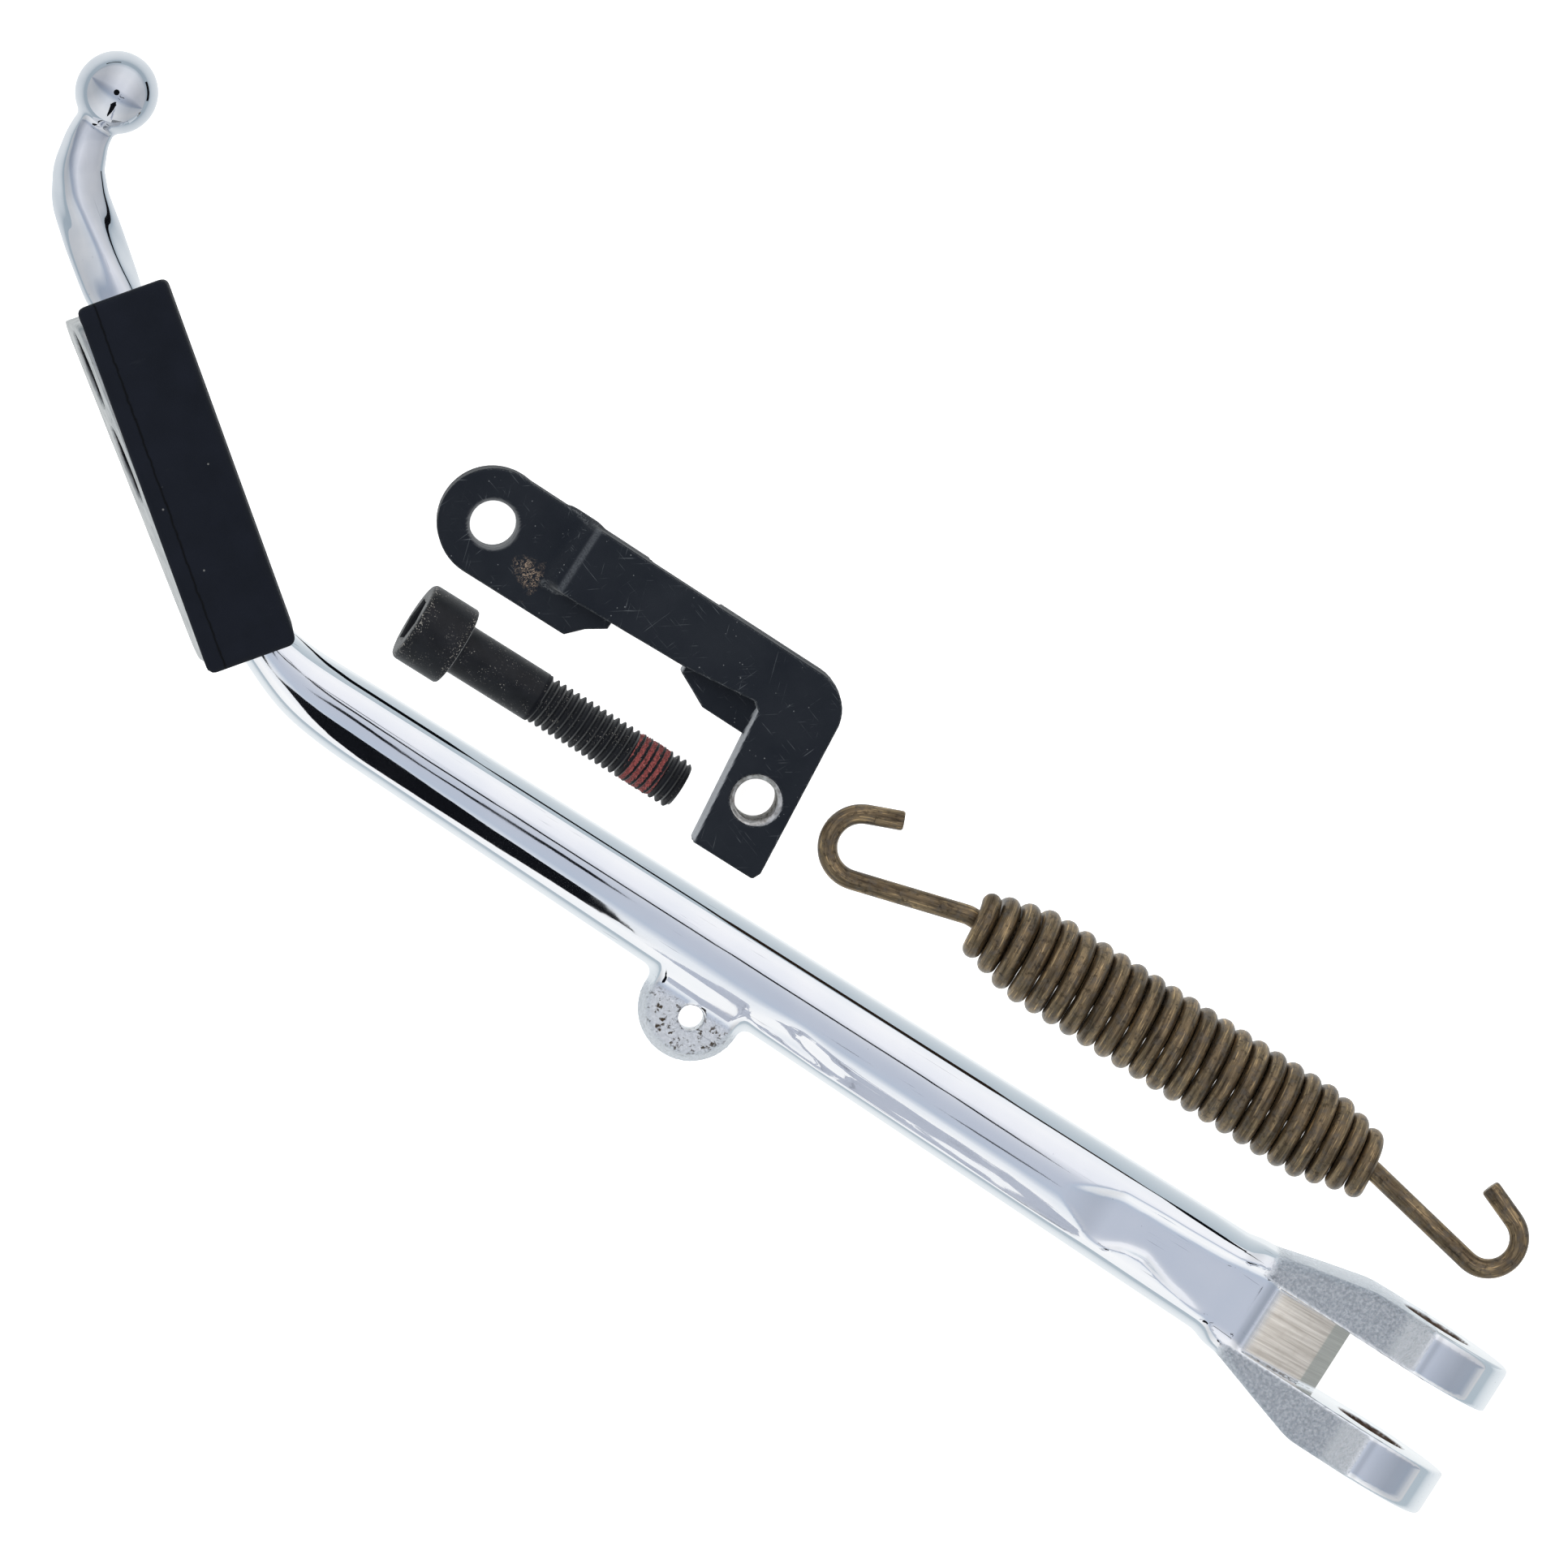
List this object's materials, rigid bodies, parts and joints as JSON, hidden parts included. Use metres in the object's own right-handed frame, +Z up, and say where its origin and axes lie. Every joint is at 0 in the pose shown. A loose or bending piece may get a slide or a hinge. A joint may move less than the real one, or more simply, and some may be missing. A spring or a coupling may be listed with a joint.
{
  "type": "kickstand",
  "caption": "Motorcycle kickstand kit laid out flat: chrome leg with ball-ended toe arm, rubber foot pad and clevis, black bracket, socket-head cap screw and return spring with swivel hooks.",
  "frame": {"origin": "middle of the kit's footprint, on the plane that it lies on", "axes": "+Z is up, out of that plane. +X and +Y lie in the plane: the leg runs from its clevis at +X, -Y to its ball end at -X, +Y."},
  "size_m": [0.2802, 0.2782, 0.033],
  "materials": {
    "chrome": "mirror-bright chrome plate, rough cast under the plate on the clevis ears and the lug",
    "rubber": "matte moulded rubber",
    "bright_steel": "bright, lightly dulled",
    "black_steel": "satin black coating with fine scratches and worn edges",
    "black_oxide": "black oxide with light specks",
    "locking_compound": "dry granular thread-locking compound",
    "spring_wire": "bronze-brown oiled spring wire with drawn streaks"
  },
  "bodies": {
    "kit_base": {"bracket": "black_steel", "spring_coil": "spring_wire"},
    "leg": {"leg": "chrome", "rubber_pad": "rubber", "wear_plate": "bright_steel"},
    "cap_screw": {"cap_screw": "black_oxide", "thread_lock_patch": "locking_compound"},
    "hook_left": {"hook_left": "spring_wire"},
    "hook_right": {"hook_right": "spring_wire"}
  },
  "joints": [
    {"name": "leg_swing", "type": "hinge", "parent": "kit_base", "child": "leg", "pos_m": [0.11335, -0.11699, 0.0165], "axis": [0.5358, 0.8443, 0], "range_deg": [0, 95]},
    {"name": "screw_turn", "type": "hinge", "parent": "kit_base", "child": "cap_screw", "pos_m": [-0.06305, 0.02551, 0.00798], "axis": [-0.8417, 0.5362, 0.0633], "continuous": true},
    {"name": "hook_swivel", "type": "hinge", "parent": "kit_base", "child": "hook_left", "pos_m": [0.07244, -0.05029, 0.0095], "axis": [0.8434, -0.5373, 0], "continuous": true},
    {"name": "spring_stretch", "type": "slide", "parent": "kit_base", "child": "hook_right", "axis": [0.8434, -0.5373, 0], "range_m": [0, 0.025], "deforming": ["spring_coil"]}
  ]
}
